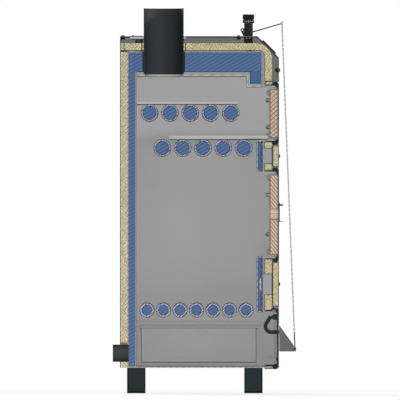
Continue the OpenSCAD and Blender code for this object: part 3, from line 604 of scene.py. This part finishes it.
def new_piece(name, points, faces, body, material, slot, smooth=False):
    """A mesh piece that rides on a body and takes one of the added finishes; the slot is not
    used.

    A face is four corners; where the last two are the same point it is a triangle.
    """
    pinched = faces[:, 2] == faces[:, 3]
    polygons = faces[~pinched].tolist() + faces[pinched, :3].tolist()
    mesh = bpy.data.meshes.new(name)
    mesh.from_pydata(np.asarray(points).tolist(), [], polygons)
    mesh.validate()
    if smooth:
        mesh.shade_smooth()
    mesh.materials.append(ADDED[material])
    piece = bpy.data.objects.new(name, mesh)
    bpy.context.scene.collection.objects.link(piece)
    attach(piece, body)


def joined(parts):
    """Several (points, faces) as one."""
    starts = np.cumsum([0] + [len(points) for points, _ in parts[:-1]])
    return (np.concatenate([points for points, _ in parts]),
            np.concatenate([faces + start for (_, faces), start in zip(parts, starts)]))


def outwards(points, faces):
    """The faces of a closed shape, turned over if its signed volume is under 0.

    The volume is a sixth of the sum of a.(b x c) + a.(c x d) over the faces a, b, c, d.
    """
    a, b, c, d = (points[faces[:, i]] - points[0] for i in range(4))
    volume = np.sum(a * (np.cross(b, c) + np.cross(c, d)))
    return faces if volume > 0 else faces[:, [1, 0, 3, 2]]


def grid_faces(rows, columns, closed_rows=False, closed_columns=False):
    """Quads of a grid of points, row by row; a closed direction joins last to first."""
    r = np.arange(rows if closed_rows else rows - 1)[:, None]
    c = np.arange(columns if closed_columns else columns - 1)[None, :]
    here = r * columns + c
    right = r * columns + (c + 1) % columns
    below = (r + 1) % rows * columns + c
    across = (r + 1) % rows * columns + (c + 1) % columns
    return np.stack([here, right, across, below], axis=-1).reshape(-1, 4)


def node_triangles(node):
    """The points of a node's mesh and the corners of its triangles."""
    mesh = frame["nodes"][node].data
    mesh.calc_loop_triangles()
    points = np.empty(len(mesh.vertices) * 3)
    mesh.vertices.foreach_get("co", points)
    corners = np.empty(len(mesh.loop_triangles) * 3, dtype=np.int64)
    mesh.loop_triangles.foreach_get("vertices", corners)
    return points.reshape(-1, 3), corners.reshape(-1, 3)


def facing_loops(node, sawn_only):
    """The directed outline edges of a node's faces that look towards -Y.

    A triangle counts when its normal's y is under -0.99. Its corners are welded by
    rounding to 0.01 mm, and an edge belongs to the outline when the opposite edge is
    missing. Seen from -Y the face lies on the left of each outline edge.
    """
    points, corners = node_triangles(node)
    a, b, c = (points[corners[:, i]] for i in range(3))
    normal = np.cross(b - a, c - a)
    area = np.linalg.norm(normal, axis=1)
    facing = (area > 1e-12) & (normal[:, 1] < -0.99 * area)
    if sawn_only:
        facing &= a[:, 1] < SAWN_Y
    keys = np.round(points / (0.01 * MM)).astype(np.int64)
    keys, first, welded = np.unique(keys, axis=0, return_index=True, return_inverse=True)
    corners = welded.reshape(-1)[corners[facing]]
    edges = np.concatenate([corners[:, [0, 1]], corners[:, [1, 2]], corners[:, [2, 0]]])
    count = len(keys)
    codes = edges[:, 0] * count + edges[:, 1]
    back = edges[:, 1] * count + edges[:, 0]
    return points[first], edges[~np.isin(codes, back)]


def edge_ribbon(node, width, lift, sawn_only=False):
    """A raised ribbon along the outline of a node's faces that look towards -Y.

    Each outline edge gives a strip from the edge to the edge moved by width, inwards or,
    with a width under 0, outwards; at a corner the moves m1 and m2 of its two edges meet
    at (m1 + m2) / (1 + m1.m2) times width. The strip stands lift above the face, with two
    side walls and a back on the face.
    """
    points, edges = facing_loops(node, sawn_only)
    run = points[edges[:, 1]] - points[edges[:, 0]]
    run = run / np.linalg.norm(run, axis=1, keepdims=True)
    inward = np.stack([-run[:, 2], np.zeros(len(run)), run[:, 0]], axis=1)
    leaving = np.full(len(points), -1)
    arriving = np.full(len(points), -1)
    leaving[edges[:, 0]] = np.arange(len(edges))
    arriving[edges[:, 1]] = np.arange(len(edges))

    def corner_move(vertex, own):
        """The move of an edge's end, from that edge and the next one at the corner."""
        one = inward[np.where(arriving[vertex] >= 0, arriving[vertex], own)]
        two = inward[np.where(leaving[vertex] >= 0, leaving[vertex], own)]
        share = 1 + np.sum(one * two, axis=1, keepdims=True)
        return (one + two) / np.maximum(share, 0.3) * width

    own = np.arange(len(edges))
    out = np.array([0, -lift, 0])
    a = points[edges[:, 0]]
    b = points[edges[:, 1]]
    c = b + corner_move(edges[:, 1], own)
    d = a + corner_move(edges[:, 0], own)
    ring = np.concatenate([a, b, c, d, a + out, b + out, c + out, d + out])
    n = len(edges)
    i = np.arange(n)
    front = np.stack([i + 4 * n, i + 5 * n, i + 6 * n, i + 7 * n], axis=1)
    outer = np.stack([i, i + n, i + 5 * n, i + 4 * n], axis=1)
    inner = np.stack([i + 2 * n, i + 3 * n, i + 7 * n, i + 6 * n], axis=1)
    back = np.stack([i + 3 * n, i + 2 * n, i + n, i], axis=1)
    return ring, outwards(ring, np.concatenate([front, outer, inner, back]))


LINE_RISE = 0.15 * MM

# Width of the line along a node's outline in mm, and its finish; under 0 it lies outside
LINES = {
    "chamber_steel": (0.9, "grey_line"),
    "tube_steel": (-1.75, "blue_line"),
    "water_fill": (0.8, "water_line"),
    "pan_steel": (0.8, "grey_line"),
    "wool": (1.3, "olive_line"),
    "frame_iron": (1.2, "dark_line"),
    "door_board": (0.8, "dark_line"),
    "liner_steel": (0.8, "grey_line"),
}
NODE_LINES = {
    "front_water_walls": (1.0, "blue_line"),
    "front_insulation": (0.9, "olive_line"),
}
NO_LINES = {"tube_water", "flap_arms", "air_cover", "inner_rear_wall", "top_insulation",
            "rear_insulation"}


def make_cut_lines():
    """Raised lines round the faces towards the cut, one piece for each body and finish."""
    bodies = frame["record"]["behaviour"]["bodies"]
    gathered = {}
    for body, members in bodies.items():
        for node in members:
            slot = SLOTS[node]
            if node in NO_LINES or slot not in LINES:
                continue
            width, finish = NODE_LINES.get(node, LINES[slot])
            ribbon = edge_ribbon(node, width * MM, LINE_RISE, slot == "frame_iron")
            gathered.setdefault((body, finish), []).append(ribbon)
    for (body, finish), parts in gathered.items():
        points, faces = joined(parts)
        new_piece(finish + "_" + body, points, faces, body, finish, "frame_iron")


ROOF_PLATE = 7 * MM                        # thickness of the plate over the gas passages
ROOF_STEP = 441.5                          # mm, where that plate steps down


def tube_places(node, count):
    """Middles (x, z) and outer radius of a row of tubes, from the node's box."""
    low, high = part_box(node)
    radius = (high[2] - low[2]) / 2
    return np.linspace(low[0] + radius, high[0] - radius, count), low[2] + radius, radius


def fillet_bead(path, out, up, size, closed=False):
    """A weld bead along a path in the corner between two plates.

    At each point of the path the profile runs from out to up, at the angle a and the
    radius size * (1 - 0.3 sin 2a), so it is hollow. The size ripples with the length s
    as 1 + sin(2 pi s / 3 mm) / 9.
    """
    after = np.roll(path, -1, axis=0) if closed else path[1:]
    steps = np.linalg.norm(after - path[:len(after)], axis=1)
    s = np.concatenate([[0], np.cumsum(steps)])[:len(path)]
    ripple = size * (1 + np.sin(2 * np.pi * s / (3 * MM)) / 9)
    angle = np.linspace(0, np.pi / 2, 5)
    radius = 1 - 0.30 * np.sin(2 * angle)
    ring = ((np.cos(angle) * radius)[None, :, None] * out[:, None, :]
            + (np.sin(angle) * radius)[None, :, None] * up[:, None, :])
    points = path[:, None, :] + ripple[:, None, None] * ring
    points = np.concatenate([points, path[:, None, :]], axis=1)
    rows, columns = points.shape[:2]
    faces = grid_faces(rows, columns, closed_rows=closed, closed_columns=True)
    if not closed:
        one = np.arange(columns - 2)
        hub = np.full(columns - 2, columns - 1)
        near = np.stack([one + 1, one, hub, hub], axis=1)
        far = np.stack([one, one + 1, hub, hub], axis=1) + (rows - 1) * columns
        faces = np.concatenate([faces, near, far])
    points = points.reshape(-1, 3)
    return points, outwards(points, faces)


def straight_bead(start, end, out, up, size=1.8 * MM):
    """A weld bead along a line, with a ring of points every 0.75 mm."""
    count = int(np.linalg.norm(end - start) / (0.75 * MM))
    path = start + (end - start) * np.linspace(0, 1, count)[:, None]
    return fillet_bead(path, np.tile(out, (count, 1)), np.tile(up, (count, 1)), size)


def make_welds():
    """Beads round the tubes on the side wall, and in its corners at the rear and the roof."""
    wall_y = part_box("inner_side_wall")[0][1]
    towards = np.array([0.0, -1.0, 0.0])
    turn = np.linspace(0, 2 * np.pi, 181)[:-1]
    radial = np.stack([np.cos(turn), np.zeros_like(turn), np.sin(turn)], axis=1)
    beads = []
    for node, count in (("upper_tubes", 5), ("middle_tubes", 5), ("grate_tubes", 7)):
        xs, z, radius = tube_places(node, count)
        for x in xs:
            path = np.array([x, wall_y, z]) + radial * radius
            up = np.tile(towards, (len(turn), 1))
            beads.append(fillet_bead(path, radial, up, 1.6 * MM, closed=True))
    new_piece("tube_welds", *joined(beads), "boiler", "weld_metal", "chamber_steel",
              smooth=True)

    rear_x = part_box("inner_rear_wall")[1][0]
    roof_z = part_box("gas_roof")[1][2] - ROOF_PLATE
    foot = np.array([rear_x, wall_y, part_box("inner_rear_wall")[0][2]])
    corner = np.array([rear_x, wall_y, roof_z])
    step = np.array([at(ROOF_STEP, 0, 0)[0], wall_y, roof_z])
    seams = [straight_bead(foot, corner, np.array([1.0, 0.0, 0.0]), towards),
             straight_bead(corner, step, np.array([0.0, 0.0, -1.0]), towards)]
    new_piece("chamber_seams", *joined(seams), "boiler", "weld_metal", "chamber_steel",
              smooth=True)


def screw_head(radius, rise):
    """A pan head with a cross recess, on the plane z = 0.

    With r, x and y in parts of the radius, the height is rise * (1 - r^4). Inside the arms
    of the cross, where |x| or |y| is under 0.17 and r under 0.62, it is cut to a third.
    """
    r = np.linspace(0, 1, 13)[1:]
    a = np.linspace(0, 2 * np.pi, 49)[:-1]
    x = r[:, None] * np.cos(a)[None, :]
    y = r[:, None] * np.sin(a)[None, :]
    height = 1 - np.hypot(x, y) ** 4
    recess = (np.minimum(np.abs(x), np.abs(y)) < 0.17) & (np.hypot(x, y) < 0.62)
    height = np.where(recess, height / 3, height)
    points = np.stack([x * radius, y * radius, height * rise], axis=-1).reshape(-1, 3)
    points = np.concatenate([points, [[0, 0, rise / 3], [0, 0, 0]]])
    faces = grid_faces(len(r), len(a), closed_columns=True)
    step = np.arange(len(a))
    after = (step + 1) % len(a)
    rim = (len(r) - 1) * len(a)
    middle = np.full(len(a), len(points) - 2)
    top = np.stack([middle, step, after, after], axis=1)
    base = np.stack([middle + 1, after + rim, step + rim, step + rim], axis=1)
    return points, np.concatenate([top, faces[:, [0, 3, 2, 1]], base])


def place_heads(places, normal, radius, rise):
    """Copies of one screw head with its axis along a level direction."""
    points, faces = screw_head(radius, rise)
    normal = np.array(normal, dtype=float)
    u = np.cross([0.0, 0.0, 1.0], normal)
    v = np.cross(normal, u)
    turned = points @ np.stack([u, v, normal])
    return joined([(turned + np.array(place), faces) for place in places])


def make_screws():
    """Screws along the edges of the rear and side sheets."""
    inset = 12 * MM                        # from a sheet's edge to the screws' middles
    end_gap = 20 * MM                      # from a sheet's end to its first screw
    slope_gap = 95 * MM                    # from the side sheet's top to its upper screws
    radius = 4.2 * MM
    low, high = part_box("rear_panel")
    heights = np.linspace(low[2] + end_gap, high[2] - end_gap, 6)
    rear = [(low[0], y, z) for z in heights for y in (low[1] + inset, high[1] - inset)]
    low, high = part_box("side_panel")
    heights = np.linspace(low[2] + end_gap, high[2] - slope_gap, 5)
    depths = np.linspace(low[0] + 60 * MM, high[0] - 100 * MM, 4)
    side = [(x, high[1], z) for z in heights for x in (low[0] + inset, high[0] - inset)]
    side += [(x, high[1], z) for x in depths for z in (low[2] + inset, high[2] - inset)]
    heads = joined([place_heads(rear, (-1, 0, 0), radius, 0.7 * MM),
                    place_heads(side, (0, 1, 0), radius, 0.5 * MM)])
    new_piece("casing_screws", *heads, "boiler", "screw_metal", "casing_paint", smooth=True)


def sawn_triangles(node):
    """Corners, count x 3 x 3, of a node's triangles in the plane of the cut."""
    points, corners = node_triangles(node)
    shapes = points[corners]
    return shapes[np.all(shapes[:, :, 1] < SAWN_Y, axis=1)]


def inside_any(places, shapes):
    """Which places lie in one of the triangles, seen along the width."""
    p = places[:, None, [0, 2]]
    a, b, c = (shapes[None, :, i][:, :, [0, 2]] for i in range(3))

    def side(one, two):
        """Above 0 where p is on the left of the line from one to two."""
        return ((two[..., 0] - one[..., 0]) * (p[..., 1] - one[..., 1])
                - (two[..., 1] - one[..., 1]) * (p[..., 0] - one[..., 0]))

    signs = np.stack([side(a, b), side(b, c), side(c, a)])
    return (np.all(signs >= 0, axis=0) | np.all(signs <= 0, axis=0)).any(axis=1)


def make_fibres(name, count, thickness, finish, seed):
    """Loose fibres that stand a little out of the sawn wool.

    A fibre starts at a random place of the sawn faces and runs for t from 0 to 1 as
    start + length * (t * along + bend * t^2 * sideways), lifted by sin(pi t) times its
    rise. Its section is a triangle of the size thickness, thinner at the ends. Fibres
    whose ends leave the wool are left out.
    """
    random = np.random.default_rng(seed)
    shapes = np.concatenate([sawn_triangles(node) for node, slot in SLOTS.items()
                             if slot == "wool"])
    area = np.linalg.norm(np.cross(shapes[:, 1] - shapes[:, 0], shapes[:, 2] - shapes[:, 0]),
                          axis=1)
    chosen = random.choice(len(shapes), count, p=area / area.sum())
    u, v = random.random((2, count, 1))
    flip = u + v > 1
    u, v = np.where(flip, 1 - u, u), np.where(flip, 1 - v, v)
    a, b, c = (shapes[chosen, i] for i in range(3))
    start = a + u * (b - a) + v * (c - a)
    heading = random.choice([0.9, 2.2], count) + random.normal(0, 0.35, count)
    along = np.stack([np.cos(heading), np.zeros(count), np.sin(heading)], axis=1)
    sideways = np.stack([-along[:, 2], np.zeros(count), along[:, 0]], axis=1)
    length = random.uniform(4, 11, (count, 1)) * MM
    bend = random.uniform(-0.5, 0.5, (count, 1))
    rise = random.uniform(0.3, 1.3, count) * MM
    end = start + length * (along + bend * sideways)
    kept = inside_any(end, shapes)
    t = np.linspace(0, 1, 6)[None, :, None]
    line = start[kept, None] + length[kept, None] * (
        t * along[kept, None] + bend[kept, None] * t ** 2 * sideways[kept, None])
    gap = 0.1 * MM
    line[:, :, 1] -= np.sin(np.pi * t[..., 0]) * rise[kept, None] + gap
    corner = np.linspace(0, 2 * np.pi, 4)[:-1]
    section = (np.cos(corner)[None, None, :, None] * sideways[kept, None, None]
               + np.sin(corner)[None, None, :, None] * np.array([0.0, 1.0, 0.0]))
    taper = np.sqrt(np.clip(np.sin(np.pi * (t + 0.12) / 1.24), 0.05, 1))[..., None]
    points = line[:, :, None] + section * taper * thickness
    number, rows, columns = points.shape[:3]
    last = (rows - 1) * columns
    tips = np.array([[1, 0, 2, 2], [last, last + 1, last + 2, last + 2]])
    one = np.concatenate([grid_faces(rows, columns, closed_columns=True), tips])
    faces = (one[None] + np.arange(number)[:, None, None] * rows * columns).reshape(-1, 4)
    points = points.reshape(-1, 3)
    new_piece(name, points, outwards(points, faces), "boiler", finish, "wool")


def ring_patch(middle, radius, turn, half_turn, z_low, z_high, lift=0.25 * MM):
    """A thin curved plate in an upright cylinder's surface, round the angle turn.

    Its section is the rectangle from radius - lift to radius + lift and z_low to z_high,
    swept over the angles turn - half_turn to turn + half_turn.
    """
    count = int(half_turn * 24) + 2
    a = (turn + np.linspace(-half_turn, half_turn, count))[:, None]
    r = radius + lift * np.array([[-1, 1, 1, -1]])
    z = np.array([[z_low, z_low, z_high, z_high]])
    points = np.stack([middle[0] + r * np.cos(a), middle[1] + r * np.sin(a),
                       np.tile(z, (count, 1))], axis=-1)
    faces = grid_faces(count, 4, closed_columns=True)
    last = 4 * (count - 1)
    ends = np.array([[3, 2, 1, 0], [last, last + 1, last + 2, last + 3]])
    points = points.reshape(-1, 3)
    return points, outwards(points, np.concatenate([faces, ends]))


def make_flue_packing():
    """A half ring of wool packed round the flue where it passes the top insulation."""
    low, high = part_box("flue_pipe")
    middle = ((low[0] + high[0]) / 2, CUT_Y)
    half = 2.0 * MM                        # half of the packing's thickness
    radius = (high[0] - low[0]) / 2 - half - 0.1 * MM
    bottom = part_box("jacket_side_wall")[1][2]
    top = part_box("top_insulation")[1][2]
    ring = ring_patch(middle, radius, np.pi / 2, np.pi / 2, bottom, top, lift=half)
    new_piece("flue_packing", *ring, "boiler", "packing_wool", "wool")


def make_regulator_marks():
    """Setting marks: a pale scale on the knob's ring, orange spots round the body's foot.

    The scale is a wide mark at the front, six narrow ones 0.36 apart in angle on either
    side of it, and a thin band all round. The spots are a seventh of a turn apart.
    """
    low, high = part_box("regulator_knob")
    middle = ((low[0] + high[0]) / 2, (low[1] + high[1]) / 2)
    knob_r = (high[0] - low[0]) / 2
    bottom, top = low[2] + 1.5 * MM, low[2] + 10 * MM
    front = -np.pi / 2
    marks = [ring_patch(middle, knob_r, front, 0.11, bottom, top)]
    marks += [ring_patch(middle, knob_r, front + side * step * 0.36, 0.035,
                         bottom + 2 * MM, top)
              for side in (-1, 1) for step in range(1, 7)]
    marks.append(ring_patch(middle, knob_r, 0.0, np.pi, bottom + 3.6 * MM,
                            bottom + 4.6 * MM, lift=0.15 * MM))
    new_piece("knob_scale", *joined(marks), "regulator_knob", "mark_grey", "knob_black")
    foot_r = 14.7 * MM
    foot_low, foot_high = 1237.4 * MM, 1245.4 * MM
    turns = front + np.radians(np.arange(5) * 360 / 7 - 29)
    spots = [ring_patch(middle, foot_r, turn, 0.12, foot_low, foot_high) for turn in turns]
    new_piece("body_marks", *joined(spots), "boiler", "mark_orange", "regulator_metal")


make_camera()
make_world()
make_floor()
for sun_name, sun in SUNS.items():
    add_sun(sun_name, *sun)
finish_nodes()
make_cut_lines()
make_welds()
make_screws()
make_fibres("pale_fibres", 2200, 0.28 * MM, "pale_fibre", seed=4)
make_fibres("dark_fibres", 2200, 0.30 * MM, "dark_fibre", seed=9)
make_flue_packing()
make_regulator_marks()

bpy.context.scene.view_settings.view_transform = "Standard"
